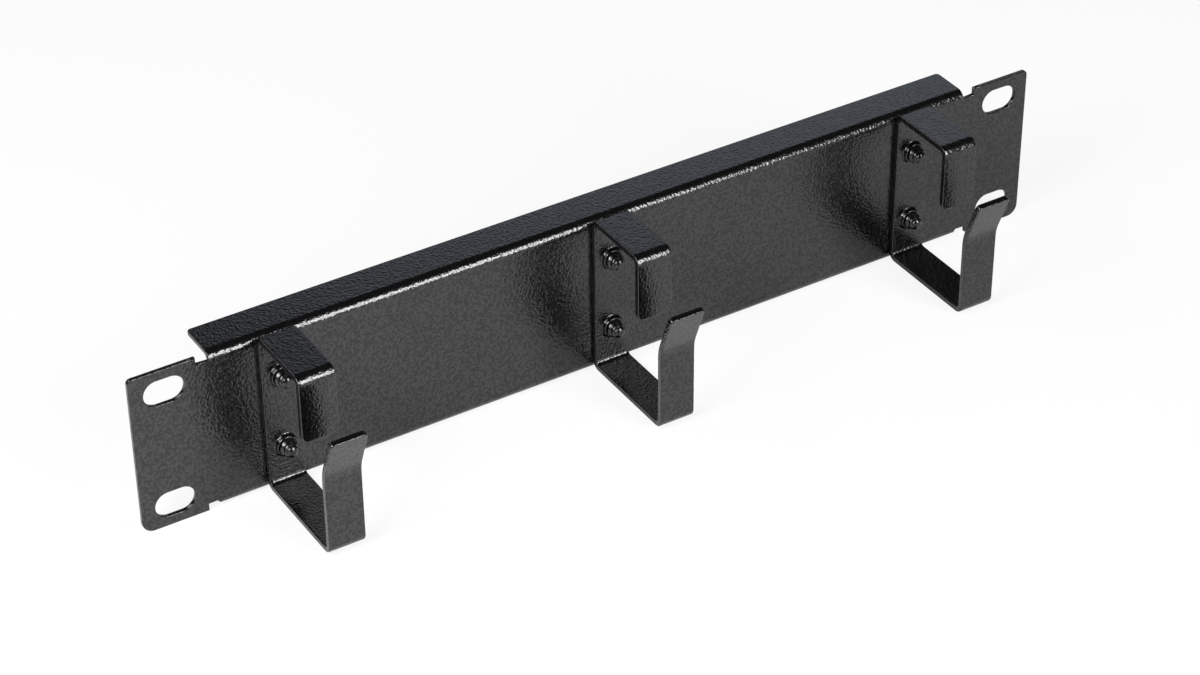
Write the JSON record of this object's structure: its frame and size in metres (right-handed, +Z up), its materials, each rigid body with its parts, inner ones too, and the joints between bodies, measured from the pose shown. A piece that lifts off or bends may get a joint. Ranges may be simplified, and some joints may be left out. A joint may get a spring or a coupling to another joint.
{
  "type": "horizontal cable manager",
  "caption": "Half-width rack panel for managing cables, with flanged edges, slotted ears and open steel hooks on its front.",
  "frame": {"origin": "centre of the pattern of four mounting slots, on the rear face of the ears, which seats on the rack's rails", "axes": "+X along the panel to its right end, +Y back into the rack, +Z up; the hooks point to -Y"},
  "size_m": [0.254, 0.0471, 0.0447],
  "materials": {
    "panel_coat": "glossy textured powder coat, fine orange peel",
    "hook_coat": "glossy textured powder coat, fine orange peel",
    "screw_black": "glossy black plated steel"
  },
  "bodies": {
    "root": {"panel": "panel_coat", "hook_left": "hook_coat", "hook_centre": "hook_coat", "hook_right": "hook_coat", "hook_screws": "screw_black"}
  },
  "joints": []
}
